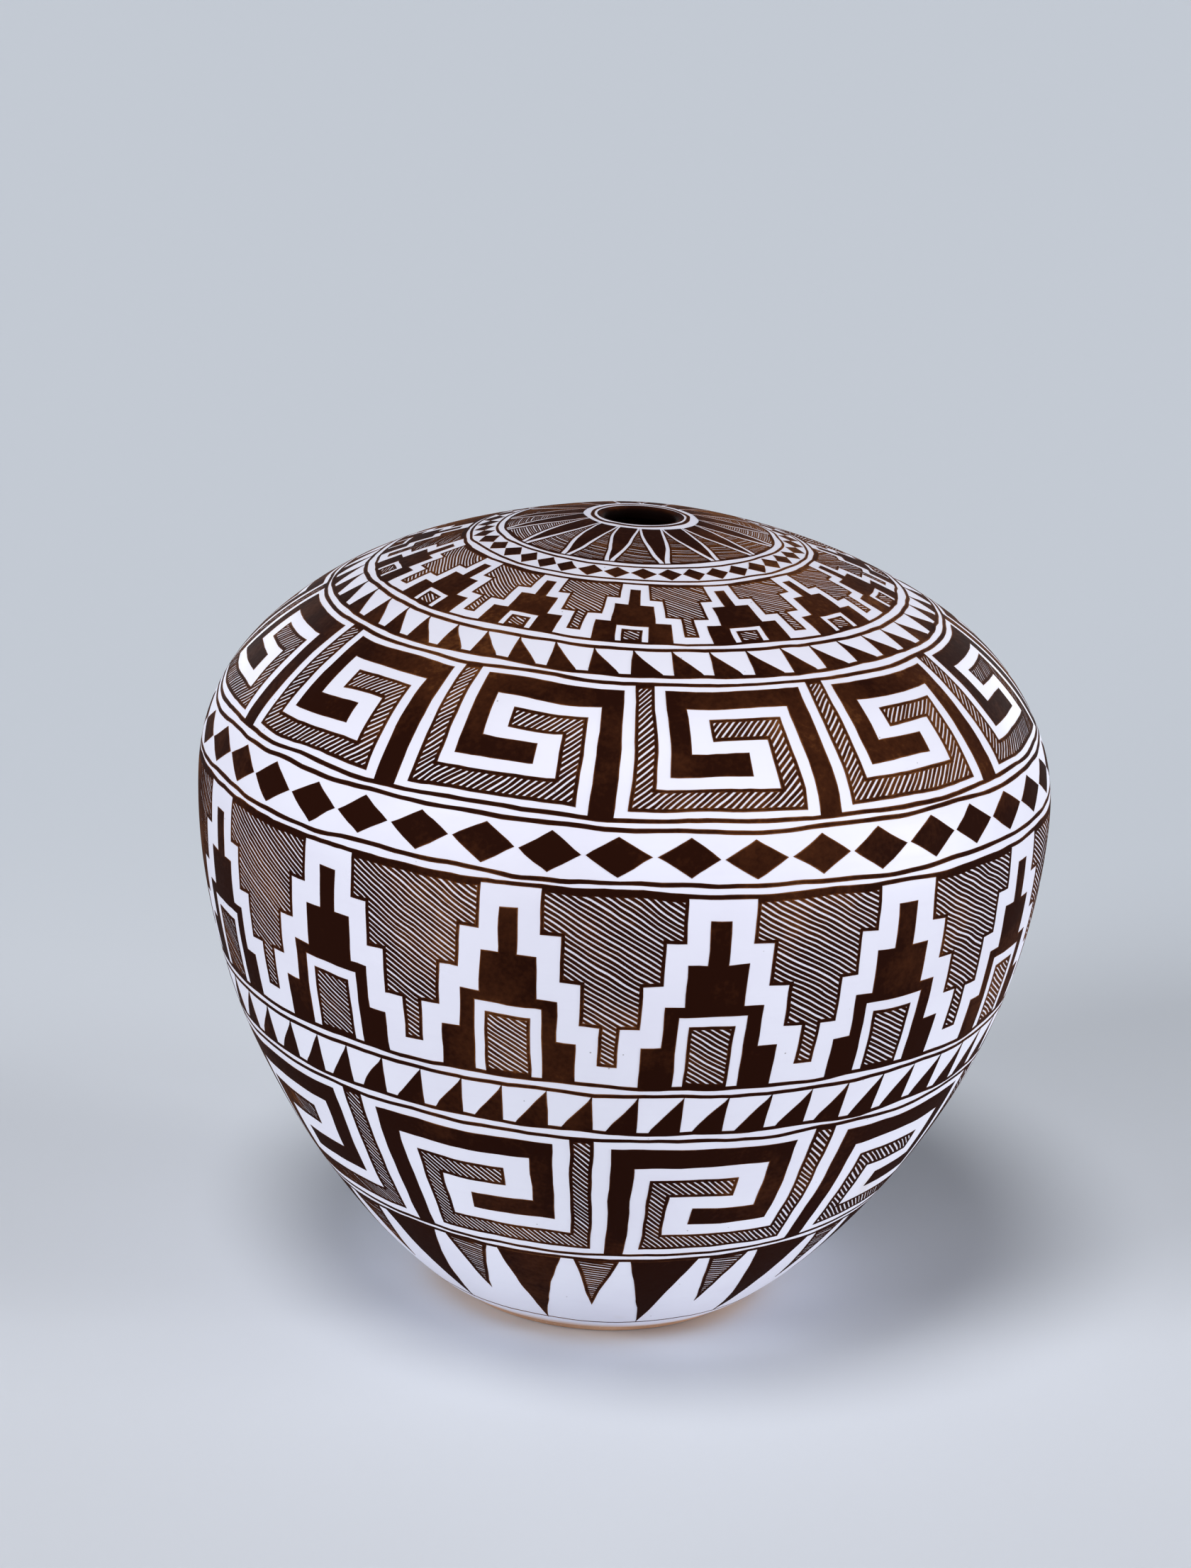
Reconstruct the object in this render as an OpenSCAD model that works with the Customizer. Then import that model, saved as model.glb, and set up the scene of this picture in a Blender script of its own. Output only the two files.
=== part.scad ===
// Coil-built seed pot: a base slab, lapped clay coils and a rim coil,
// coated with white slip and finished with painted lines.
// Z is up, the pot stands on z = 0 and its axis is the Z axis. Millimetres.

/* [Body] */
// Greatest diameter of the finished pot, over the slip
belly_d = 250; // [220:1:290]
// Height of the widest line above the standing surface
belly_z = 158; // [140:1:175]
// Overall height, to the crest of the painted lip
pot_h = 237; // [220:1:260]
// Upright pull of the lower wall's curve, below the widest line
belly_pull_down = 84; // [60:1:95]
// Upright pull of the shoulder's curve, above the widest line
belly_pull_up = 52; // [40:1:60]

/* [Foot] */
// Outer diameter of the flat band that the pot stands on
foot_d = 90; // [76:1:110]
// Width of that flat band
foot_land = 12; // [6:1:20]
// Rise of the hollowed underside at its centre
foot_hollow = 3; // [1:0.5:5]
// Radius of the rounded foot edge
foot_round = 2.5; // [1:0.5:4]
// Slope of the wall where it leaves the foot, in degrees above level
foot_slope = 35; // [28:1:45]
// Pull of the lower wall's curve along that slope
foot_pull = 25; // [15:1:40]

/* [Mouth] */
// Diameter of the finished mouth hole
mouth_d = 20.5; // [16:0.5:36]
// Radius of the clay lip, where the wall has thinned to twice as much
lip_round = 1.9; // [1.4:0.1:2.5]
// Radius of the edge under the lip, held to half the lip's radius
under_round = 0.9; // [0.5:0.1:1.2]
// Slope of the shoulder where it meets the lip, in degrees
mouth_slope = 9; // [4:1:16]
// Pull of the shoulder's curve along that slope
mouth_pull = 42; // [25:1:55]

/* [Clay] */
// Thickness of the clay wall
wall = 5; // [3.5:0.5:7]
// Thickness of the base slab
slab = 6; // [4:0.5:8]
// Run of the base slab up the wall, to the middle of its lap
base_run = 18; // [14:1:24]
// Run of the rim coil down from the lip, to the middle of its lap
rim_run = 20; // [14:1:26]
// Number of wall coils between the base slab and the rim coil
coil_count = 14; // [10:1:18]
// Length of the slanted lap between two coils, along the wall
lap = 6; // [3:0.5:8]
// Swell of each coil on the inside of the wall
coil_swell = 0.5; // [0:0.1:1]

/* [Coats] */
// Thickness of the white slip
slip = 0.5; // [0.3:0.1:0.8]
// Run over which the slip feathers out at its two ends
slip_feather = 5; // [3:0.5:8]
// Bare clay between the foot edge and the slip, along the wall
bare_edge = 6; // [2:0.5:8]
// Thickness of the paint
paint = 0.12; // [0.08:0.02:0.2]
// Width of the painted line around the mouth
mouth_line_w = 1.1; // [0.4:0.1:2]
// White gap between the painted lip and the mouth line
mouth_line_gap = 0.9; // [0.4:0.1:2.5]
// Width of the painted line above the foot
foot_line_w = 0.6; // [0.3:0.1:1.5]
// Run from the foot edge up the wall to the foot line
foot_line_up = 13; // [9:0.5:16]

/* [Hidden] */
clay_colour = [0.72, 0.52, 0.38];
clay_tint = 0.03;
slip_colour = [0.92, 0.92, 0.94];
paint_colour = [0.15, 0.08, 0.05];

// Facets of a full turn, where a mesh is drawn
$fn = 128;
// Straight steps that stand for the wall's outer curve
wall_steps = 64;
// Straight steps on the inside of one coil, and on a rounded edge
coil_steps = 6;
round_steps = 8;
// Closest that an even step of the wall comes to a named station
station_gap = 0.8;

function coil_name(k) = str("wall_coil_", k < 10 ? "0" : "", k);

// Sizes of the clay under its coats
foot_r = foot_d / 2;
land_r = foot_r - foot_land;
belly_r = belly_d / 2 - slip;
bore_r = mouth_d / 2 + paint;
lip_r = min(lip_round, wall / 2);
under_r = min(under_round, lip_r / 2);
lip_wall = 2 * lip_r;
floor_z = foot_hollow + slab;

// Outward direction where the shoulder meets the lip, and the lip's centre
lip_out = [sin(mouth_slope), cos(mouth_slope)];
lip_centre = [bore_r + lip_r, pot_h - paint - lip_r];

// Ends of the clay's outer curve, in [radius, height]
wall_foot = [foot_r + foot_round * sin(foot_slope), foot_round * (1 - cos(foot_slope))];
wall_belly = [belly_r, belly_z];
wall_lip = lip_centre + lip_r * lip_out;

lower_curve = [
    wall_foot,
    wall_foot + foot_pull * [cos(foot_slope), sin(foot_slope)],
    wall_belly - [0, belly_pull_down],
    wall_belly
];
upper_curve = [
    wall_belly,
    wall_belly + [0, belly_pull_up],
    wall_lip + mouth_pull * [cos(mouth_slope), -sin(mouth_slope)],
    wall_lip
];

function bezier(c, t) =
    pow(1 - t, 3) * c[0] + 3 * pow(1 - t, 2) * t * c[1]
    + 3 * (1 - t) * pow(t, 2) * c[2] + pow(t, 3) * c[3];

function bezier_slope(c, t) =
    pow(1 - t, 2) * (c[1] - c[0]) + 2 * (1 - t) * t * (c[2] - c[1])
    + pow(t, 2) * (c[3] - c[2]);

function unit(v) = v / norm(v);

// The outer curve runs from 0 at the foot, past 1 at the belly, to 2 at the lip
function curve_point(g) = g < 1 ? bezier(lower_curve, g) : bezier(upper_curve, g - 1);
function curve_slope(g) = g < 1 ? bezier_slope(lower_curve, g) : bezier_slope(upper_curve, g - 1);

// Run along the outer curve, from the foot edge, at even steps of the curve
run_steps = 400;
run_table = [
    for (
        i = 0, run = 0;
        i <= run_steps;
        i = i + 1,
        run = run + norm(curve_point(2 * i / run_steps) - curve_point(2 * (i - 1) / run_steps))
    ) [run, 2 * i / run_steps]
];
wall_run = run_table[run_steps][0];

function curve_at(run) = lookup(run, run_table);
function along(run) = unit(curve_slope(curve_at(run)));
function outward(run) = [along(run)[1], -along(run)[0]];
function clay_point(run) = curve_point(curve_at(run));

// Each lap slants: the coil above reaches lower on the inside of the wall
coil_run = (wall_run - base_run - rim_run) / coil_count;
function lap_outside(k) = base_run + k * coil_run + lap / 2;
function lap_inside(k) = base_run + k * coil_run - lap / 2;

foot_line = [foot_line_up, foot_line_up + foot_line_w];
mouth_line = [wall_run - mouth_line_gap - mouth_line_w, wall_run - mouth_line_gap];

// Stations along the wall, where the coils, the slip and the paint share corners
named_stations = concat(
    [0, bare_edge, bare_edge + slip_feather, wall_run - slip_feather, wall_run],
    foot_line,
    mouth_line,
    [for (k = [0:coil_count]) lap_outside(k)]
);
function clear_of(run, others) = min([for (o = others) abs(run - o)]) > station_gap;
even_stations = [
    for (i = [1:wall_steps - 1])
        let (run = wall_run * i / wall_steps)
            if (clear_of(run, named_stations)) run
];

function sorted(list) =
    len(list) <= 1 ? list :
    let (pivot = list[floor(len(list) / 2)])
        concat(
            sorted([for (x = list) if (x < pivot) x]),
            [pivot],
            sorted([for (x = list) if (x > pivot) x])
        );
stations = sorted(concat(named_stations, even_stations));

function stations_between(low, high) = [for (s = stations) if (s >= low && s <= high) s];
function reversed(list) = [for (i = [len(list) - 1:-1:0]) list[i]];

// The slip thins to the paint's thickness at the foot and at the lip
function slip_at(run) =
    let (inside = min(run - bare_edge, wall_run - run))
        paint + (slip - paint) * max(0, min(1, inside / slip_feather));
function slip_point(run) = clay_point(run) + slip_at(run) * outward(run);
function paint_point(run) = slip_point(run) + paint * outward(run);

// The rim coil thins smoothly from the wall's thickness to the lip's
function wall_at(run) =
    let (
        start = lap_inside(coil_count),
        share = max(0, (run - start) / (wall_run - start))
    )
        wall + (lip_wall - wall) * pow(share, 2) * (3 - 2 * share);

// Inside of the wall, with the swell of the coil between two laps
function inside_point(run, low, high) =
    clay_point(run)
    - (wall_at(run) + coil_swell * sin(180 * (run - low) / (high - low))) * outward(run);
function inside_points(low, high) = [
    for (i = [coil_steps:-1:0])
        inside_point(low + (high - low) * i / coil_steps, low, high)
];

function arc(centre, radius, from, to) = [
    for (i = [0:round_steps])
        let (a = from + (to - from) * i / round_steps)
            centre + radius * [cos(a), sin(a)]
];

// Underside and inner floor of the base slab
hollow_points = [
    for (i = [0:round_steps])
        let (share = i / round_steps) [land_r * share, foot_hollow * (1 - pow(share, 2))]
];
floor_start = clay_point(lap_inside(0)) - wall * outward(lap_inside(0));
floor_drop = (floor_start[1] - slab) / along(lap_inside(0))[1];
floor_curve = [
    floor_start,
    floor_start - floor_drop * along(lap_inside(0)),
    [land_r / 2, floor_z],
    [0, floor_z]
];
floor_points = [for (i = [0:2 * round_steps]) bezier(floor_curve, i / (2 * round_steps))];

// Edge under the lip, tangent to the mouth hole and to the inside of the wall
rim_inside_end = wall_lip - lip_wall * lip_out;
under_z = rim_inside_end[1]
    + (under_r - (bore_r + under_r - rim_inside_end[0]) * lip_out[0]) / lip_out[1];
under_centre = [bore_r + under_r, under_z];

// The lip's outline under a coat: over the crest, down the mouth hole and round the edge under it
function lip_edge(coat) = concat(
    arc(lip_centre, lip_r + coat, 90 - mouth_slope, 180),
    arc(under_centre, under_r + coat, 180, 270 - mouth_slope)
);

module turned(outline) {
    rotate_extrude() polygon(outline);
}

module base_slab() {
    color(clay_colour)
        turned(concat(
            hollow_points,
            arc([foot_r, foot_round], foot_round, -90, foot_slope - 90),
            [for (s = stations_between(0, lap_outside(0))) if (s > 0) clay_point(s)],
            floor_points
        ));
}

module wall_coil(k) {
    color(clay_colour * (1 + clay_tint * (k % 3 - 1)))
        turned(concat(
            [for (s = stations_between(lap_outside(k - 1), lap_outside(k))) clay_point(s)],
            inside_points(lap_inside(k - 1), lap_inside(k))
        ));
}

module rim_coil() {
    color(clay_colour)
        turned(concat(
            [for (s = stations_between(lap_outside(coil_count), wall_run)) if (s < wall_run) clay_point(s)],
            lip_edge(0),
            inside_points(lap_inside(coil_count), wall_run)
        ));
}

module white_slip() {
    covered = stations_between(bare_edge, wall_run);
    color(slip_colour)
        turned(concat(
            [for (s = covered) slip_point(s)],
            [for (s = reversed(covered)) clay_point(s)]
        ));
}

module lip_paint() {
    color(paint_colour)
        turned(concat(lip_edge(paint), reversed(lip_edge(0))));
}

module painted_line(span) {
    covered = stations_between(span[0], span[1]);
    color(paint_colour)
        turned(concat(
            [for (s = covered) paint_point(s)],
            [for (s = reversed(covered)) slip_point(s)]
        ));
}

base_slab();
for (k = [1:coil_count]) wall_coil(k);
rim_coil();
white_slip();
lip_paint();
painted_line(mouth_line);
painted_line(foot_line);
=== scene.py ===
import math
import random

import bmesh
import bpy
import numpy as np
from mathutils import Matrix, Vector


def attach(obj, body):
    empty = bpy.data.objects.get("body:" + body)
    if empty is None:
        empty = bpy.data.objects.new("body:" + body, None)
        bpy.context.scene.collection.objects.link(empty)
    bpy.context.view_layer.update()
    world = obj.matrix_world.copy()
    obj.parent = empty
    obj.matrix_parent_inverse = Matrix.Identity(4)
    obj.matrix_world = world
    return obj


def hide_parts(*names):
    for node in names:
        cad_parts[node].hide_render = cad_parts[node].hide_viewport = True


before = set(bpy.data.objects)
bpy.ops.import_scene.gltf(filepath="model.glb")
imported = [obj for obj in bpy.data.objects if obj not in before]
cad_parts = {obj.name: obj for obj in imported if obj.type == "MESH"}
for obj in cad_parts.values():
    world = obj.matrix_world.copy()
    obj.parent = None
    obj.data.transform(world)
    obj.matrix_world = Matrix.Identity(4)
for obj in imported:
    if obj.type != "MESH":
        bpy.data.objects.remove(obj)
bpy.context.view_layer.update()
mm = 0.001
print("seed pot:", len(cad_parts), "parts in the frame")


def link(name, data):
    made = bpy.data.objects.new(name, data)
    bpy.context.scene.collection.objects.link(made)
    return made


# Camera, from the photograph's side
view = dict(
    aim=(0, 0, 112.5),  # mm, the point that the camera is set out from
    distance=1000,  # mm
    elevation=19.67,  # degrees above level
    turn=-0.495,  # degrees to the right of the aim
    tilt=2.329,  # degrees above the aim
    roll=3.51,  # degrees anticlockwise
    lens=76.56,  # mm, with the sensor along the frame's long side
    sensor=36,  # mm
)


def makeCamera():
    lens = bpy.data.cameras.new("camera")
    lens.sensor_width = view["sensor"]
    lens.lens = view["lens"]
    rise = math.radians(view["elevation"])
    back = Vector((0, -math.cos(rise), math.sin(rise)))
    camera = link("camera", lens)
    camera.matrix_world = (
        Matrix.Translation((Vector(view["aim"]) + back * view["distance"]) * mm)
        @ Matrix.Rotation(math.pi / 2 - rise, 4, "X")
        @ Matrix.Rotation(-math.radians(view["turn"]), 4, "Y")
        @ Matrix.Rotation(math.radians(view["tilt"]), 4, "X")
        @ Matrix.Rotation(math.radians(view["roll"]), 4, "Z")
    )
    bpy.context.scene.camera = camera


makeCamera()
print("seed pot: camera set")


# Shader maths: a Wire is one socket, and sums on it add Math nodes
class Wire:
    def __init__(self, sheet, socket):
        self.sheet = sheet
        self.socket = socket

    def maths(self, operation, *others):
        return self.sheet.node(
            "ShaderNodeMath", dict(operation=operation), dict(enumerate((self, *others)))
        )

    def __add__(self, other):
        return self.maths("ADD", other)

    def __mul__(self, other):
        return self.maths("MULTIPLY", other)

    def __sub__(self, other):
        return self.maths("SUBTRACT", other)

    def __rsub__(self, other):
        return self * -1 + other

    __radd__ = __add__
    __rmul__ = __mul__

    def raised(self, least, more):
        return self * more + least

    def ease(self, low, high):
        return self.sheet.node(
            "ShaderNodeMapRange",
            dict(interpolation_type="SMOOTHSTEP"),
            {"Value": self, "From Min": low, "From Max": high},
        )


class Finish:
    def __init__(self, holder, shader="Principled BSDF"):
        holder.use_nodes = True
        self.holder = holder
        self.tree = holder.node_tree
        self.shader = self.tree.nodes[shader]

    def node(self, kind, settings=None, sockets=None, out=0):
        made = self.tree.nodes.new(kind)
        for name, value in (settings or {}).items():
            if name == "stops":
                self.fillRamp(made.color_ramp.elements, value)
            else:
                setattr(made, name, value)
        for name, value in (sockets or {}).items():
            self.feed(made.inputs[name], value)
        return Wire(self, made.outputs[out])

    def fillRamp(self, elements, stops):
        for _ in stops[2:]:  # a new ramp has two
            elements.new(0.5)
        for element, (place, tint) in zip(elements, stops):
            element.position = place
            element.color = (*tint, 1)

    def feed(self, socket, value):
        if isinstance(value, Wire):
            self.tree.links.new(value.socket, socket)
        else:
            socket.default_value = value

    def noise(self, place, scale, detail=3.0, roughness=0.55):
        sockets = {"Vector": place, "Scale": scale, "Detail": detail, "Roughness": roughness}
        return self.node("ShaderNodeTexNoise", sockets=sockets)

    def cells(self, place, scale):
        return self.node("ShaderNodeTexVoronoi", sockets={"Vector": place, "Scale": scale})

    def mixed(self, kind, share, one, other):
        tints = [(*tint, 1) if isinstance(tint, tuple) else tint for tint in (one, other)]
        settings = dict(data_type="RGBA", blend_type=kind)
        sockets = {0: share, 6: tints[0], 7: tints[1]}  # the factor and the two colours
        return self.node("ShaderNodeMix", settings, sockets, 2)

    def blend(self, share, one, other):
        return self.mixed("MIX", share, one, other)

    def tinted(self, share, tint, by):
        return self.mixed("MULTIPLY", share, tint, by)

    def objectPlace(self):
        return self.node("ShaderNodeTexCoord", out="Object")

    def stretched(self, place, scale):
        return self.node("ShaderNodeMapping", sockets={"Vector": place, "Scale": scale})

    def part(self, place, axis):
        return self.node("ShaderNodeSeparateXYZ", sockets={"Vector": place}, out=axis)

    def squaredReach(self, place, front=0):  # from the upright line at x = 0 and y = front
        x = self.part(place, "X")
        y = self.part(place, "Y") - front
        return x * x + y * y

    def surface(self, **values):
        for name, value in values.items():
            self.feed(self.shader.inputs[name.replace("_", " ")], value)
        return self.holder

    def bump(self, height, strength, distance):
        sockets = {"Height": height, "Strength": strength, "Distance": distance}
        self.feed(self.shader.inputs["Normal"], self.node("ShaderNodeBump", sockets=sockets))


# Bare fired clay, on the foot and inside the pot
clayFinish = dict(
    light=(0.70, 0.42, 0.26),
    dark=(0.52, 0.28, 0.16),
    temper=(0.78, 0.66, 0.52),  # crushed sherd that shows as pale specks
    clouds=38,  # per metre, like the next two
    grain=900,
    specks=520,
    speckEdge=(0.1, 0.24),  # shares of a cell between which a speck fades out
    speckShare=0.5,  # how far its tint covers the clay
    relief=(0.35, 0.0003),  # strength, and depth in m
    rough=(0.74, 0.15),  # least, and what the grain adds
)


def bareClay():
    sheet = Finish(bpy.data.materials.new("bareClay"))
    place = sheet.objectPlace()
    clouds = sheet.noise(place, clayFinish["clouds"], 5)
    grain = sheet.noise(place, clayFinish["grain"], 2)
    specks = sheet.cells(place, clayFinish["specks"])
    tint = sheet.blend(clouds.ease(0.3, 0.7), clayFinish["dark"], clayFinish["light"])
    shows = (1 - specks.ease(*clayFinish["speckEdge"])) * clayFinish["speckShare"]
    tint = sheet.blend(shows, tint, clayFinish["temper"])
    sheet.bump(grain + specks * 0.4, *clayFinish["relief"])
    return sheet.surface(Base_Color=tint, Roughness=grain.raised(*clayFinish["rough"]))


# White slip, rubbed with a stone to a soft satin
slipFinish = dict(
    low=(0.885, 0.885, 0.99),  # lighter near the foot: painted light that lifts the shade on the lower wall
    high=(0.785, 0.785, 0.905),  # the slip's tint from the belly up, where the light is stronger
    thins=(0.04, 0.15),  # m, heights between which the painted light fades out
    shade=(0.95, 0.94, 0.955),  # tint of the rubbed clouds
    wash=(0.0035, 0.0068),  # m, heights between which it covers the clay
    washSway=0.004,  # m, how far the clouds shift those heights
    clay=(0.66, 0.42, 0.28),  # what shows through the wash
    clayShare=0.8,  # how far it covers the slip, like the next two shares
    stain=(0.66, 0.56, 0.45),
    stainShare=0.22,
    speck=(0.30, 0.28, 0.31),  # dark bottom of a pit
    speckShare=0.85,
    clouds=24,  # per metre, like the next four
    stains=46,
    pits=210,
    pitted=90,  # patches that have pits
    grain=1300,
    rubbing=(55, 55, 420),  # per metre along X, Y and Z
    relief=(0.22, 0.00025),  # strength, and depth in m
    rough=(0.42, 0.16),  # least, and what the rubbing adds
)


def whiteSlip():
    sheet = Finish(bpy.data.materials.new("whiteSlip"))
    place = sheet.objectPlace()
    clouds = sheet.noise(place, slipFinish["clouds"], 4)
    rubbed = sheet.noise(sheet.stretched(place, slipFinish["rubbing"]), 1, 3)
    grain = sheet.noise(place, slipFinish["grain"], 2)
    stains = sheet.noise(place, slipFinish["stains"], 2)
    pits = sheet.cells(place, slipFinish["pits"])
    pitted = sheet.noise(place, slipFinish["pitted"], 1)
    height = sheet.part(place, "Z")
    # painted light: the slip is lighter towards the foot, where the wall lies in shade
    tint = sheet.blend(height.ease(*slipFinish["thins"]), slipFinish["low"], slipFinish["high"])
    tint = sheet.tinted(clouds.ease(0.35, 0.75), tint, slipFinish["shade"])
    tint = sheet.tinted(rubbed.ease(0.5, 0.8) * 0.3, tint, slipFinish["shade"])
    stained = stains.ease(0.69, 0.80) * slipFinish["stainShare"]  # only where the noise peaks
    tint = sheet.blend(stained, tint, slipFinish["stain"])
    specks = (1 - pits.ease(0.03, 0.07)) * pitted.ease(0.5, 0.56)  # middles of some cells
    tint = sheet.blend(specks * slipFinish["speckShare"], tint, slipFinish["speck"])
    covers = (height + (clouds - 0.5) * slipFinish["washSway"]).ease(*slipFinish["wash"])
    tint = sheet.blend((1 - covers) * slipFinish["clayShare"], tint, slipFinish["clay"])
    sheet.bump(rubbed * 0.6 + grain * 0.25 - specks, *slipFinish["relief"])
    return sheet.surface(Base_Color=tint, Roughness=rubbed.raised(*slipFinish["rough"]))


# Brown mineral paint: near black where it lies thick, rust brown where it thins
paintFinish = dict(
    thin=(0.160, 0.058, 0.018),
    middle=(0.046, 0.0135, 0.0052),
    thick=(0.0175, 0.0044, 0.0022),
    depths=(0.12, 0.5, 0.85),  # of paint, at which these three show
    thins=(0.16, 0.235),  # m, heights between which it gets thinner
    thinner=0.2,  # depth that it loses there
    core=0.62,  # depth that the middle of a stroke adds, then what the next three add
    batch=0.4,
    load=0.6,
    bristle=0.5,
    batches=20,  # per metre, like the next two: stretches of thicker and thinner paint
    loads=120,  # dips of the brush
    bristles=700,
    relief=(0.15, 0.0002),  # strength, and depth in m
    rough=(0.5, 0.2),  # least, and what the bristles add
)


def paintSurface(sheet, tint, bristles):
    sheet.bump(bristles, *paintFinish["relief"])
    rough = bristles.raised(*paintFinish["rough"])
    return sheet.surface(Base_Color=tint, Roughness=rough, Specular_IOR_Level=0.01)


def brownPaint():
    sheet = Finish(bpy.data.materials.new("brownPaint"))
    place = sheet.objectPlace()
    batches = sheet.noise(place, paintFinish["batches"], 2).ease(0.34, 0.62)
    loads = sheet.noise(place, paintFinish["loads"], 3)
    bristles = sheet.noise(place, paintFinish["bristles"], 3)
    core = sheet.node("ShaderNodeAttribute", dict(attribute_name="core"), out="Fac")
    depth = core * paintFinish["core"] + batches * paintFinish["batch"]
    depth += (loads - 0.5) * paintFinish["load"] + (bristles - 0.5) * paintFinish["bristle"]
    depth -= sheet.part(place, "Z").ease(*paintFinish["thins"]) * paintFinish["thinner"]
    tints = [paintFinish[name] for name in ("thin", "middle", "thick")]
    stops = list(zip(paintFinish["depths"], tints))
    tint = sheet.node("ShaderNodeValToRGB", dict(stops=stops), {"Fac": depth})
    return paintSurface(sheet, tint, bristles)


# Lip paint: the same brown in a heavy coat, with near-black painted shade down the mouth
lipAndThroatShadeFinish = dict(
    # painted shade: near black down the mouth, where little light reaches
    throatShade=(0.0035, 0.0012, 0.0008),
    turns=(0.0104, 0.0116),  # m, radii between which the lip turns down into the mouth and the painted shade begins
    loads=160,  # per metre, dips of the brush
    streak=0.25,  # how far the heaviest of them show through the painted shade in the mouth
)


def lipPaintAndThroatShade():
    sheet = Finish(bpy.data.materials.new("lipPaintAndThroatShade"))
    place = sheet.objectPlace()
    loads = sheet.noise(place, lipAndThroatShadeFinish["loads"], 3)
    bristles = sheet.noise(place, paintFinish["bristles"], 3)
    # painted shade inside the lip's turn, the lip's brown paint outside it
    clearOfThroatShade = sheet.squaredReach(place).ease(*(radius**2 for radius in lipAndThroatShadeFinish["turns"]))
    tint = sheet.blend(loads.ease(0.4, 0.75), paintFinish["thick"], paintFinish["middle"])
    shows = clearOfThroatShade + loads.ease(0.6, 0.72) * lipAndThroatShadeFinish["streak"]
    tint = sheet.blend(shows, lipAndThroatShadeFinish["throatShade"], tint)
    return paintSurface(sheet, tint, bristles)


clay = bareClay()
slip = whiteSlip()
linePaint = brownPaint()
lipCoatAndThroatShade = lipPaintAndThroatShade()
for name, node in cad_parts.items():
    node.data.materials.clear()
    node.data.materials.append(lipCoatAndThroatShade if name == "lip_paint" else clay)
print("seed pot: finishes mixed")


# The slip's wall, read from the frame, as a smooth curve from foot to lip
wallRead = dict(
    heart=0.13,  # m, a height in the chamber that every part of the wall faces away from
    facing=0.5,  # least agreement of a face with that direction
    nearest=0.0002,  # m, rings closer than this are one ring
    finer=12,  # steps of the curve between two rings
)


def wallRings(node, side):  # side is 1 for the outer wall and -1 for the inner
    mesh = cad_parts[node].data
    heart = Vector((0, 0, wallRead["heart"]))
    found = []
    for face in mesh.polygons:
        away = (face.center - heart).normalized()
        if face.normal.dot(away) * side > wallRead["facing"]:
            for index in face.vertices:
                x, y, z = mesh.vertices[index].co
                found.append((math.hypot(x, y), z))
    found.sort(key=lambda ring: math.atan2(ring[1] - wallRead["heart"], ring[0]))
    rings = found[:1]
    for ring in found:
        if math.dist(ring, rings[-1]) > wallRead["nearest"]:
            rings.append(ring)
    return np.array(rings)


class PotWall:
    def __init__(self, rings):
        chords = np.linalg.norm(np.diff(rings, axis=0), axis=1)
        slopes = np.diff(rings, axis=0) / chords[:, None]
        lead = chords[1:, None] / (chords[:-1] + chords[1:])[:, None]
        inner = slopes[:-1] * lead + slopes[1:] * (1 - lead)
        tangents = np.concatenate([slopes[:1], inner, slopes[-1:]])  # way of the wall at each ring
        share = np.linspace(0, 1, wallRead["finer"], endpoint=False)[:, None]
        curve = []
        for k, chord in enumerate(chords):  # a smooth cubic from ring to ring
            curve.append(
                rings[k] * (1 + 2 * share) * (1 - share) ** 2
                + rings[k + 1] * (3 - 2 * share) * share**2
                + chord * tangents[k] * share * (1 - share) ** 2
                - chord * tangents[k + 1] * share**2 * (1 - share)
            )
        curve = np.concatenate([*curve, rings[-1:]])
        steps = np.linalg.norm(np.diff(curve, axis=0), axis=1)
        self.runs = np.concatenate([[0], np.cumsum(steps)])
        self.run = self.runs[-1]
        self.radii, self.heights = curve.T
        self.outR = np.gradient(self.heights, self.runs)
        self.outZ = -np.gradient(self.radii, self.runs)

    def at(self, run):
        table = (self.radii, self.heights, self.outR, self.outZ)
        return [np.interp(run, self.runs, values) for values in table]


slipWall = PotWall(wallRings("white_slip", 1))
print("seed pot: wall read,", round(slipWall.run / mm, 1), "mm from foot to lip")


# Unevenness of hand work: slow waves that run over the pot in chosen directions
hand = dict(
    waves=7,  # waves that make up one unevenness
    lengths=(0.7, 1.5),  # least and most of a wave's length
    hollows=(46, 0.11),  # mm, wave and depth of the hollows left by scraping the wall
    hollowSeed=3,
    calm=14,  # mm, run at the foot and the lip over which the hollows die out
    sway=((34, 0.28), (12, 0.10), (5, 0.04)),  # mm, wave and reach of the brush's wander
    apart=50,  # between the seeds of the wander along a band and across it
)


def uneven(places, seed, wave, reach):
    draw = np.random.default_rng(seed)
    total = np.zeros(len(places))
    for _ in range(hand["waves"]):
        way = draw.normal(size=3)
        way *= 2 * math.pi / (wave * mm * draw.uniform(*hand["lengths"]) * np.linalg.norm(way))
        total += np.sin(places @ way + draw.uniform(0, 2 * math.pi))
    return total * reach * mm / math.sqrt(hand["waves"] / 2)


def turned(radius, height, angle):
    return np.stack([radius * np.cos(angle), radius * np.sin(angle), height], axis=1)


def onWall(angle, run, lift):
    radius, height, outR, outZ = slipWall.at(run)
    ends = np.minimum(run, slipWall.run - run) / (hand["calm"] * mm)
    hollow = uneven(turned(radius, height, angle), hand["hollowSeed"], *hand["hollows"])
    lift = lift + hollow * np.clip(ends, 0, 1)
    return turned(radius + lift * outR, height + lift * outZ, angle)


def brushSway(places, seed):
    return sum(uneven(places, seed + k, *sway) for k, sway in enumerate(hand["sway"]))


def coordinates(mesh):
    found = np.empty(len(mesh.vertices) * 3, np.float32)
    mesh.vertices.foreach_get("co", found)
    return found.reshape(-1, 3).astype(float)


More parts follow.
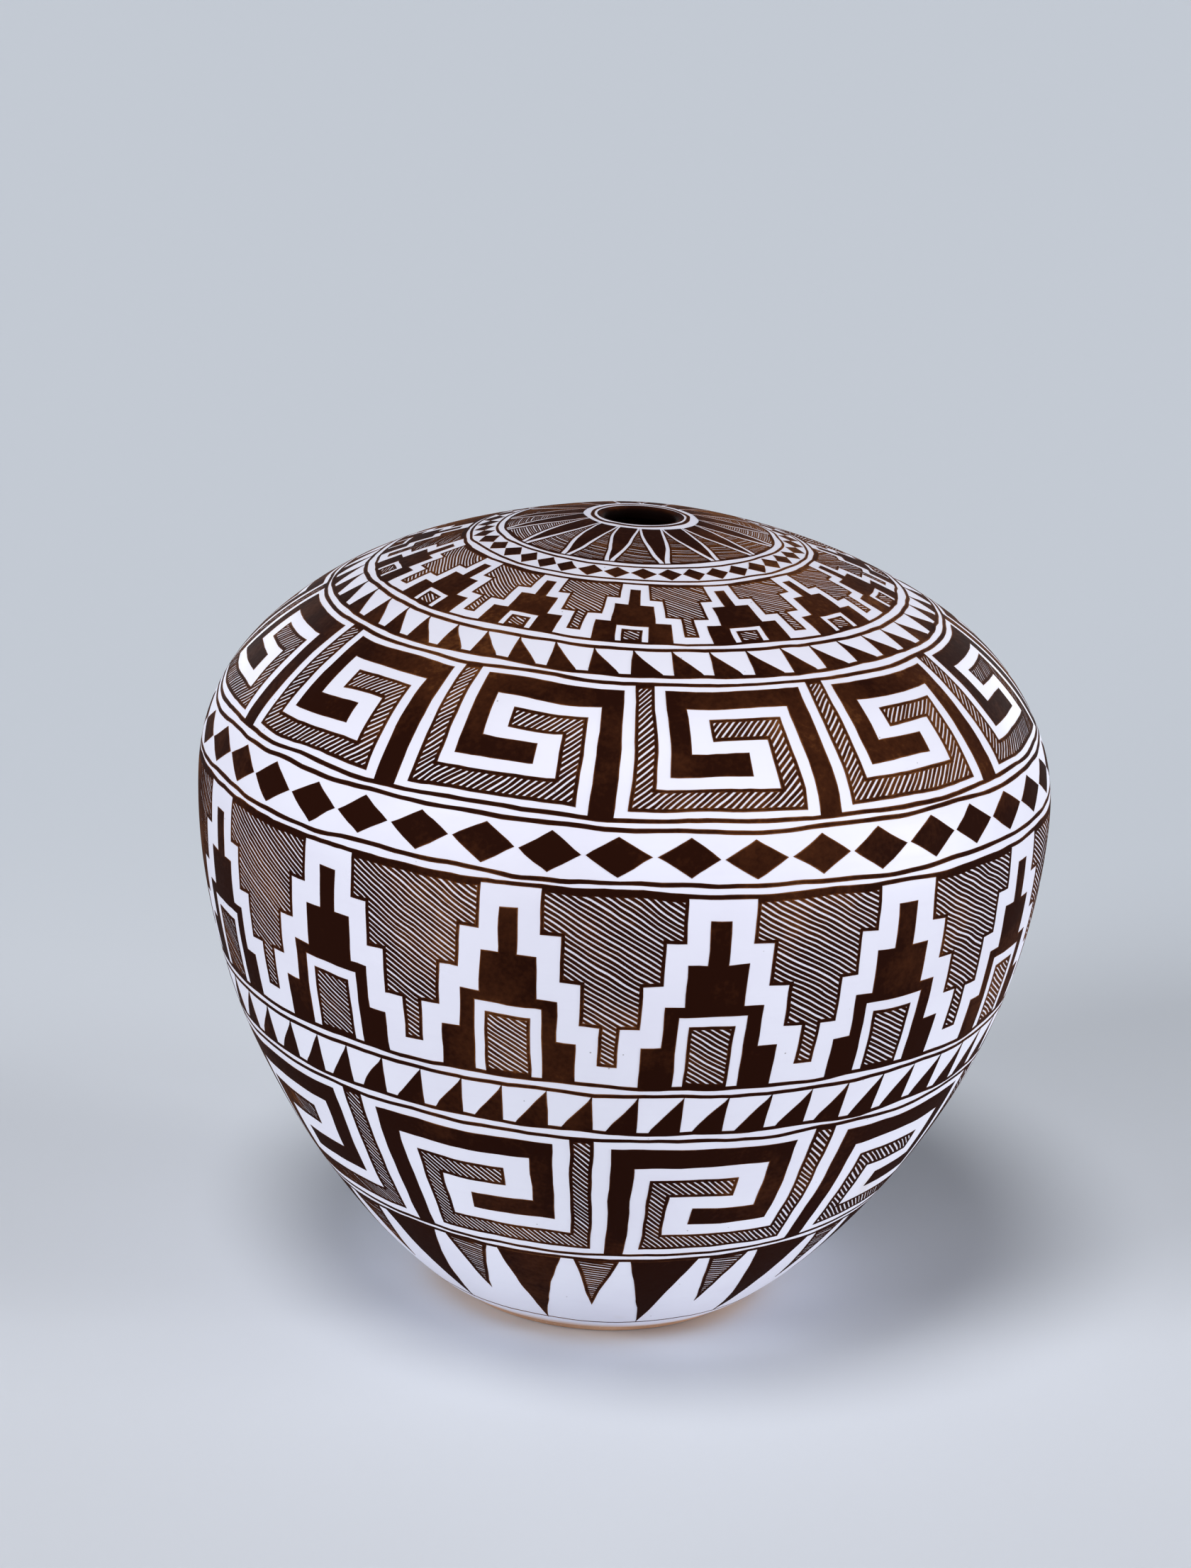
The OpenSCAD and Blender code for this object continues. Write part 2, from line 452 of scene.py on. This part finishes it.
def finishPiece(piece, finish, sharpness):
    piece.data.materials.append(finish)
    piece.data.shade_smooth()
    piece.data.set_sharp_from_angle(angle=math.radians(sharpness))
    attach(piece, "root")


# Slip coat: a closed shell between the frame's two slip walls
slipCoat = dict(
    rings=168,  # rings of the outer wall
    turns=264,  # steps of the full turn
    near=0.02,  # mm, a point this close to the outer wall lies on it
    sharpness=60,  # degrees
)


def makeSlipCoat():
    runs = np.linspace(0, slipWall.run, slipCoat["rings"])
    outer = np.stack(slipWall.at(runs)[:2], axis=1)
    inner = wallRings("white_slip", -1)[::-1]
    bm = bmesh.new()
    outline = [bm.verts.new((r, 0, z)) for r, z in np.concatenate([outer, inner])]
    for k, corner in enumerate(outline):
        bm.edges.new((outline[k - 1], corner))
    bmesh.ops.spin(
        bm, geom=bm.verts[:] + bm.edges[:], axis=(0, 0, 1), cent=(0, 0, 0),
        angle=2 * math.pi, steps=slipCoat["turns"], use_merge=True,
    )
    bmesh.ops.recalc_face_normals(bm, faces=bm.faces[:])
    mesh = bpy.data.meshes.new("slip_coat")
    bm.to_mesh(mesh)
    bm.free()
    places = coordinates(mesh)  # the outer wall's points then get its hollows
    radius = np.hypot(places[:, 0], places[:, 1])
    bearing = np.arctan2(places[:, 2] - wallRead["heart"], radius)
    wallBearing = np.arctan2(slipWall.heights - wallRead["heart"], slipWall.radii)
    run = np.interp(bearing, wallBearing, slipWall.runs)
    wallRadius, wallHeight = slipWall.at(run)[:2]
    off = np.hypot(radius - wallRadius, places[:, 2] - wallHeight)
    shows = off < slipCoat["near"] * mm
    shaped = onWall(np.arctan2(places[:, 1], places[:, 0]), run, 0)
    places[shows] = shaped[shows]
    mesh.vertices.foreach_set("co", places.ravel())
    piece = link("slip_coat", mesh)
    finishPiece(piece, slip, slipCoat["sharpness"])
    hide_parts("white_slip")


makeSlipCoat()
print("seed pot: slip coat turned")


# Brushwork: each band is painted flat, in mm, and then laid on the wall
brush = dict(
    film=0.055,  # mm, height of the paint over the slip
    over=0.03,  # mm, that a shape lies over the line it grows from
    root=0.06,  # mm, that the paint reaches into the slip
    fringe=0.42,  # mm, thin edge of a stroke
    outline=1.0,  # mm, line around a hatched field
    rule=1.25,  # mm, framing line
    stroke=0.86,  # mm, hatching line
    pitch=1.3,  # mm, from one hatching line to the next
    jitter=0.09,  # mm, uneven spacing of the hatching
    tuck=0.6,  # mm, that a shape reaches under its framing line
    bend=2.6,  # mm, longest step that lies flat on the wall
    ringSteps=96,  # fewest steps of a line right around
    loads=(0.8, 1.2),  # least and most paint along the middle of a hatching line
    edge=0.15,  # paint along its two edges
    near=0.01,  # mm, a corner this close to a framing line grows from it
    weld=0.05,  # mm, points closer than this at a line's two ends are joined
    sharpness=40,  # degrees
    seed=100,  # of the first band
)
hatchMark = 1  # material index of a field that is still to be hatched


class Brush:
    def __init__(self, slant, seed, fine):
        self.bm = bmesh.new()
        self.core = self.bm.verts.layers.float.new("core")
        self.fringe = brush["fringe"] * fine
        self.outline = brush["outline"] * fine
        self.stroke = brush["stroke"] * fine
        self.pitch = brush["pitch"] * fine
        self.bend = brush["bend"] * fine
        self.slant = Vector((math.cos(math.radians(slant)), math.sin(math.radians(slant)), 0))
        self.draw = random.Random(seed)

    def shape(self, corners):
        face = self.bm.faces.new([self.bm.verts.new((x, y, 0)) for x, y in corners])
        face.normal_update()
        return face

    def edged(self, corners, edge, load):
        face = self.shape(corners)
        bmesh.ops.inset_individual(self.bm, faces=[face], thickness=edge, use_even_offset=True)
        for corner in face.verts:
            corner[self.core] = load
        return face

    def fill(self, corners):
        return self.edged(corners, self.fringe, 1)

    def hatch(self, corners):
        band = self.edged(corners, self.outline / 2, 1)
        bmesh.ops.inset_individual(
            self.bm, faces=[band], thickness=self.outline / 2, use_even_offset=True
        )
        band.material_index = hatchMark

    def hatched(self):
        return [face for face in self.bm.faces if face.material_index == hatchMark]

    def cut(self, faces, at, way):
        parts = set(faces)
        for face in faces:
            parts.update(face.edges)
            parts.update(face.verts)
        bmesh.ops.bisect_plane(self.bm, geom=list(parts), plane_co=way * at, plane_no=way)

    def rakeHatching(self):
        reach = [self.slant.dot(v.co) for face in self.hatched() for v in face.verts]
        if not reach:
            return
        lines = []
        at = min(reach) - self.stroke / 2
        while at < max(reach):
            start = at + self.draw.uniform(-1, 1) * brush["jitter"]
            lines.append((start, start + self.stroke, self.draw.uniform(*brush["loads"])))
            at += self.pitch
        for start, end, load in lines:
            for at in (start, (start + end) / 2, end):
                self.cut(self.hatched(), at, self.slant)
        gaps = []
        for face in self.hatched():
            face.material_index = 0
            if self.paintAt(lines, face.calc_center_median()) is None:
                gaps.append(face)
            for corner in face.verts:
                corner[self.core] = self.paintAt(lines, corner.co) or brush["edge"]
        bmesh.ops.delete(self.bm, geom=gaps, context="FACES")

    def paintAt(self, lines, place):
        at = self.slant.dot(place)
        for start, end, load in lines:
            if start < at < end:
                return load + (brush["edge"] - load) * abs(2 * at - start - end) / (end - start)
        return None

    def bendable(self):
        for way in (Vector((1, 0, 0)), Vector((0, 1, 0))):
            reach = [way.dot(v.co) for v in self.bm.verts]
            at = math.floor(min(reach) / self.bend) * self.bend
            while at < max(reach):
                self.cut(self.bm.faces[:], at, way)
                at += self.bend

    def tuckUnder(self, tall):
        for v in self.bm.verts:
            if v.co.y < brush["near"]:
                v.co.y -= brush["tuck"]
                v[self.core] = 1
            elif v.co.y > tall - brush["near"]:
                v.co.y += brush["tuck"]
                v[self.core] = 1

    def thicken(self):
        for face in self.bm.faces:
            face.normal_update()
            if face.normal.z < 0:
                face.normal_flip()
        bmesh.ops.translate(self.bm, verts=self.bm.verts[:], vec=(0, 0, -brush["root"]))
        raised = bmesh.ops.extrude_face_region(self.bm, geom=self.bm.faces[:], use_keep_orig=True)
        tops = [item for item in raised["geom"] if isinstance(item, bmesh.types.BMVert)]
        height = brush["root"] + brush["film"] + brush["over"]
        bmesh.ops.translate(self.bm, verts=tops, vec=(0, 0, height))
        bmesh.ops.recalc_face_normals(self.bm, faces=self.bm.faces[:])

    def repeat(self, wide, times):
        bmesh.ops.spin(
            self.bm, geom=self.bm.verts[:] + self.bm.edges[:] + self.bm.faces[:], angle=0,
            axis=(0, 0, 1), dvec=(wide, 0, 0), steps=times - 1, use_duplicate=True,
        )


def layOnWall(mesh, midRadius, seed):
    along, run, lift = coordinates(mesh).T * mm
    first = onWall(along / midRadius, run, lift)
    along = along + brushSway(first, seed)
    run = run + brushSway(first, seed + hand["apart"])
    mesh.vertices.foreach_set("co", onWall(along / midRadius, run, lift).ravel())


# Map of a band or a line as it was painted flat
flatEdge = 0.1  # share of its height that is left free below it and above it


def flatMap(mesh, wide, times, low, tall):
    flat = coordinates(mesh)
    across = (flat[:, 0] / wide + 0.5) / (times + 1)
    up = np.clip((flat[:, 1] - low) / tall, -flatEdge, 1 + flatEdge)
    up = (up + flatEdge) / (1 + 2 * flatEdge)
    corners = np.empty(len(mesh.loops), np.int32)
    mesh.loops.foreach_get("vertex_index", corners)
    layer = mesh.uv_layers.new(name="OFBake")
    spread = np.stack([across, up], axis=1)[corners].astype(np.float32)
    layer.uv.foreach_set("vector", spread.ravel())


# Painted lines right around the pot
def paintRing(name, middle, width, seed, load=1.0):
    radius = slipWall.at(middle * mm)[0]
    around = 2 * math.pi * radius / mm
    fringe = min(brush["fringe"], width / 3)
    section = [
        (-width / 2, -brush["root"], 0), (width / 2, -brush["root"], 0),
        (width / 2, brush["film"], 0), (width / 2 - fringe, brush["film"], load),
        (fringe - width / 2, brush["film"], load), (-width / 2, brush["film"], 0),
    ]
    bm = bmesh.new()
    core = bm.verts.layers.float.new("core")
    loop = []
    for up, lift, depth in section:
        loop.append(bm.verts.new((0, middle + up, lift)))
        loop[-1][core] = depth
    for k, corner in enumerate(loop):
        bm.edges.new((loop[k - 1], corner))
    steps = max(brush["ringSteps"], math.ceil(around / brush["bend"]))
    bmesh.ops.spin(
        bm, geom=bm.verts[:] + bm.edges[:], angle=0, axis=(0, 0, 1),
        dvec=(around / steps, 0, 0), steps=steps,
    )
    mesh = bpy.data.meshes.new(name)
    bm.to_mesh(mesh)
    flatMap(mesh, around, 1, middle - width, 2 * width)
    layOnWall(mesh, radius, seed)
    bm.clear()
    bm.from_mesh(mesh)
    bmesh.ops.remove_doubles(bm, verts=bm.verts[:], dist=brush["weld"] * mm)
    bmesh.ops.recalc_face_normals(bm, faces=bm.faces[:])
    bm.to_mesh(mesh)
    bm.free()
    piece = link(name, mesh)
    finishPiece(piece, linePaint, brush["sharpness"])
    return piece


# Shapes of the bands
def terrace(wide, tall, steps, gap, tip, door=None):
    rise = (tall - gap) / steps
    tread = (wide / 2 - gap - 2 * tip) / (steps - 1)
    right = [door, (door[0], 0)] if door else []
    for k in range(steps):
        half = tip + (steps - 1 - k) * tread
        right += [(half, k * rise), (half, (k + 1) * rise)]
    return right + [(-x, y) for x, y in reversed(right)]


def halfTurn(corners, wide, tall):
    return [(wide / 2 - x, tall - y) for x, y in corners]


def ribbon(path, width):
    sides = ([], [])
    points = [Vector(point) for point in path]
    for k, point in enumerate(points):
        before = (point - points[k - 1]).normalized() if k else (points[1] - point).normalized()
        after = (points[k + 1] - point).normalized() if k < len(points) - 1 else before
        across = Vector((-before.y - after.y, before.x + after.x))
        across *= width / (1 + before.dot(after)) / 2
        sides[0].append(point - across)
        sides[1].append(point + across)
    return sides[0] + sides[1][::-1]


def paintTerraces(tool, wide, tall, steps=4, gap=4.0, tip=2.8, door=None):
    tool.fill(terrace(wide, tall, steps, gap, tip, door))
    tool.hatch(halfTurn(terrace(wide, tall, steps, gap, tip), wide, tall))
    if door:
        half = door[0] - gap / 2
        high = door[1] - gap / 2
        tool.hatch([(-half, 0), (half, 0), (half, high), (-half, high)])


def paintRays(tool, wide, tall, gap=3.0, share=0.58, reach=0.66):
    long = share * wide / 2 - gap / 2
    short = (1 - share) * wide / 2 - gap / 2
    tool.fill([(-long, tall), (0, 0), (long, tall)])
    tool.hatch([(wide / 2 - short, tall), (wide / 2, tall * (1 - reach)), (wide / 2 + short, tall)])


def paintPoints(tool, wide, tall, gap=1.0):
    half = wide / 2 - gap
    tool.hatch([(-half, 0), (half, 0), (0, tall)])
    tool.fill([(wide / 2, 0), (wide / 2 + half, tall), (wide / 2 - half, tall)])


def paintKeys(tool, wide, tall, arm=0.65, mirror=False):
    columns = 6
    rows = 4
    hook = [(0.5, 0), (0.5, 3.5), (4.5, 3.5), (4.5, 1.5), (2.5, 1.5)]  # in columns and rows
    for turn, stroke in ((False, tool.fill), (True, tool.hatch)):
        corners = ribbon(hook, arm)
        if turn:
            corners = [(columns - x, rows - y) for x, y in corners]
        if mirror:
            corners = [(columns - x, y) for x, y in corners]
        stroke([(x * wide / columns, y * tall / rows) for x, y in corners])


def paintTeeth(tool, wide, tall, teeth=3, lean=1, share=0.74):
    step = wide / teeth
    for k in range(teeth):
        left = k * step
        right = left + share * step
        tool.fill([(left, 0), (right, 0), (right if lean > 0 else left, tall)])


def paintLozenges(tool, wide, tall, count=3, gap=1.1):
    step = wide / count
    for k in range(count):
        middle = (k + 0.5) * step
        half = step / 2 - gap / 2
        level = tall / 2
        tool.fill([(middle, gap), (middle + half, level), (middle, tall - gap), (middle - half, level)])


# Lines of the frame, as mm of run along the slip
def lineSpan(node):
    runs = []
    for radius, height in wallRings(node, 1):
        apart = np.hypot(slipWall.radii - radius, slipWall.heights - height)
        runs.append(slipWall.runs[np.argmin(apart)] / mm)
    return min(runs), max(runs)


footLine = lineSpan("foot_line")
mouthLine = lineSpan("mouth_line")
print("seed pot: foot line at", np.round(footLine, 1), "mm, mouth line at", np.round(mouthLine, 1))

# Bands from the foot up: where each starts and how tall it is, in mm of run along the slip
raysHigh = 52  # mm, where the rays end
pointsLow = 299  # mm, where the points start
pointsShort = 2.6  # mm, that the points end short of the mouth line
bandPlan = [
    dict(
        name="foot_rays", low=footLine[1], tall=raysHigh - footLine[1], slant=80, repeats=14,
        rules=("high",), paint=paintRays,
    ),
    dict(
        name="lower_keys", low=56, tall=50, slant=45, repeats=10, shift=0.5, paint=paintKeys,
        extra=dict(arm=0.58),
    ),
    dict(name="lower_teeth", low=110, tall=12, repeats=20, paint=paintTeeth),
    dict(
        name="belly_terraces", low=126, tall=56, slant=60, repeats=14, paint=paintTerraces,
        extra=dict(gap=6.0, door=(9.5, 22)),
    ),
    dict(name="belly_lozenges", low=186, tall=13, repeats=14, paint=paintLozenges),
    dict(
        name="shoulder_keys", low=203, tall=40, slant=-45, repeats=12, paint=paintKeys,
        extra=dict(mirror=True),
    ),
    dict(name="shoulder_teeth", low=247, tall=9, repeats=16, paint=paintTeeth, extra=dict(lean=-1)),
    dict(
        name="dome_terraces", low=260, tall=26, slant=60, repeats=14, shift=0.5, fine=0.75,
        paint=paintTerraces, extra=dict(steps=3, gap=2.8, tip=1.7, door=(4.0, 6.2)),
    ),
    dict(
        name="dome_lozenges", low=289, tall=7, repeats=13, fine=0.65, paint=paintLozenges,
        extra=dict(gap=0.35),
    ),
    dict(
        name="mouth_points", low=pointsLow, tall=mouthLine[0] - (pointsLow + pointsShort), slant=80,
        repeats=16, fine=0.5, rules=("low",), paint=paintPoints,
    ),
]


def paintBand(
    seed, name, low, tall, repeats, paint,
    slant=60, shift=0, fine=1, rules=("low", "high"), extra=None,
):
    midRadius = slipWall.at((low + tall / 2) * mm)[0]
    wide = 2 * math.pi * midRadius / mm / repeats
    tool = Brush(slant, seed, fine)
    paint(tool, wide, tall, **(extra or {}))
    tool.rakeHatching()
    tool.bendable()
    tool.tuckUnder(tall)
    tool.thicken()
    bmesh.ops.translate(tool.bm, verts=tool.bm.verts[:], vec=(shift * wide, low, 0))
    tool.repeat(wide, repeats)
    mesh = bpy.data.meshes.new(name)
    tool.bm.to_mesh(mesh)
    tool.bm.free()
    flatMap(mesh, wide, repeats + 1, low, tall)
    layOnWall(mesh, midRadius, seed)
    finishPiece(link(name, mesh), linePaint, brush["sharpness"])
    rule = brush["rule"] * fine
    if "low" in rules:
        paintRing(name + "_low_rule", low - rule / 2, rule, seed)
    if "high" in rules:
        paintRing(name + "_high_rule", low + tall + rule / 2, rule, seed)
    print("seed pot:", name, "painted,", len(mesh.polygons), "faces")


for k, band in enumerate(bandPlan):
    paintBand(brush["seed"] + k, **band)

# The frame's two lines, painted over
frameLines = [
    dict(name="mouth_ring", node="mouth_line", span=mouthLine, seed=301, load=1),
    dict(name="foot_ring", node="foot_line", span=footLine, seed=302, load=0.5),
]


def paintFrameLine(name, node, span, seed, load):
    piece = paintRing(name, sum(span) / 2, span[1] - span[0], seed, load)
    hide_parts(node)


for line in frameLines:
    paintFrameLine(**line)
print("seed pot: lines painted")


# Studio: a pale floor with a painted pool of light in front of the pot, a soft light from above, and
# low lights that lift the shade under the belly
studio = dict(
    reach=12.0,  # m, radius of the floor
    edges=96,  # sides of the floor's rim
    tint=(0.745, 0.784, 0.857),  # in front of the pot, lighter: a painted pool of light
    paintedFalloffTint=(0.69, 0.742, 0.823),  # everywhere else, darker: painted falloff of the light
    front=-0.5,  # m, middle of the painted pool of light
    changes=(0.25, 1.0),  # m from there, between which the tint changes
    rough=0.9,
    under=0.0001,  # m, the floor lies this far below the foot
    around=(0.02, 0.02, 0.02),  # light from all around
    beyond=(0.546, 0.591, 0.652),  # what shows past the floor
)
suns = [  # turn from +X and rise above level, in degrees, like the width; power in W per square metre
    dict(name="keyLight", turn=-115, rise=70, width=20, power=1.38),
    dict(name="leftLight", turn=-141, rise=26, width=22, power=1.28),
    dict(name="leftLowLight", turn=-120, rise=5, width=16, power=0.80),
    dict(name="rightLight", turn=-15, rise=40, width=20, power=0.30),
    dict(name="rightLowLight", turn=-9, rise=5, width=16, power=2.28),
    dict(name="backLeftLight", turn=120, rise=7, width=16, power=0.42),
    dict(name="backRightLight", turn=60, rise=7, width=16, power=0.42),
]


def floorFinish():
    sheet = Finish(bpy.data.materials.new("floorPaperWithPaintedLight"))
    place = sheet.objectPlace()
    # painted light: the floor is lighter in front of the pot and darker farther off
    reach = sheet.squaredReach(place, studio["front"])
    far = reach.ease(*(edge**2 for edge in studio["changes"]))
    tint = sheet.blend(far, studio["tint"], studio["paintedFalloffTint"])
    return sheet.surface(Base_Color=tint, Roughness=studio["rough"], Specular_IOR_Level=0)


def makeFloor():
    bm = bmesh.new()
    bmesh.ops.create_circle(bm, cap_ends=True, segments=studio["edges"], radius=studio["reach"])
    bmesh.ops.translate(bm, verts=bm.verts[:], vec=(0, 0, -studio["under"]))
    mesh = bpy.data.meshes.new("floor")
    bm.to_mesh(mesh)
    bm.free()
    mesh.materials.append(floorFinish())
    link("floor", mesh)


def makeSun(name, turn, rise, width, power):
    sun = bpy.data.lights.new(name, "SUN")
    sun.angle = math.radians(width)
    sun.energy = power
    level = math.cos(math.radians(rise))
    turn = math.radians(turn)
    way = Vector((level * math.cos(turn), level * math.sin(turn), math.sin(math.radians(rise))))
    facing = way.to_track_quat("Z", "Y").to_matrix().to_4x4()
    link(name, sun).matrix_world = Matrix.Translation(way) @ facing


def makeLight():
    for sun in suns:
        makeSun(**sun)
    sky = Finish(bpy.data.worlds.new("around"), "Background")
    rays = [f"Is {kind} Ray" for kind in ("Camera", "Glossy", "Transmission")]
    seen = sum(sky.node("ShaderNodeLightPath", out=ray) for ray in rays)
    bpy.context.scene.world = sky.surface(Color=sky.blend(seen, studio["around"], studio["beyond"]))


makeFloor()
makeLight()
bpy.context.scene.view_settings.view_transform = "Standard"
print("seed pot: studio lit")
